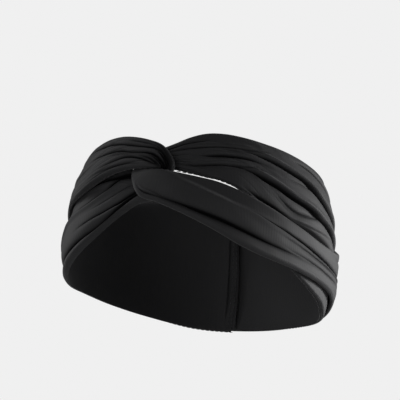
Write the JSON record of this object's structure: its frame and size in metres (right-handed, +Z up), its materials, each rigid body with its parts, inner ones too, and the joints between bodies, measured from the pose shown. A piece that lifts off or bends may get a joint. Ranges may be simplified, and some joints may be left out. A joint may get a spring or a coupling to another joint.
{
  "type": "knotted headband",
  "caption": "Wide stretch-jersey headband: flat lapped seam at the back, gathered sides, and a front knot of interlocked fabric loops.",
  "frame": {"origin": "middle of the head opening, on the band's own axis, half way between the sides", "axes": "+Z up as worn; -Y towards the knot at the front, which is tilted up 16 degrees about X; +X towards the wearer's left"},
  "size_m": [0.1619, 0.1963, 0.1201],
  "materials": {
    "jersey": "matte black fine-gauge stretch jersey with a soft sheen",
    "thread": "black textured polyester sewing thread"
  },
  "bodies": {
    "root": {"right_loop": "jersey", "left_loop": "jersey", "right_tube_seam": "thread", "left_tube_seam": "thread", "back_seam_thread": "thread"}
  },
  "joints": []
}
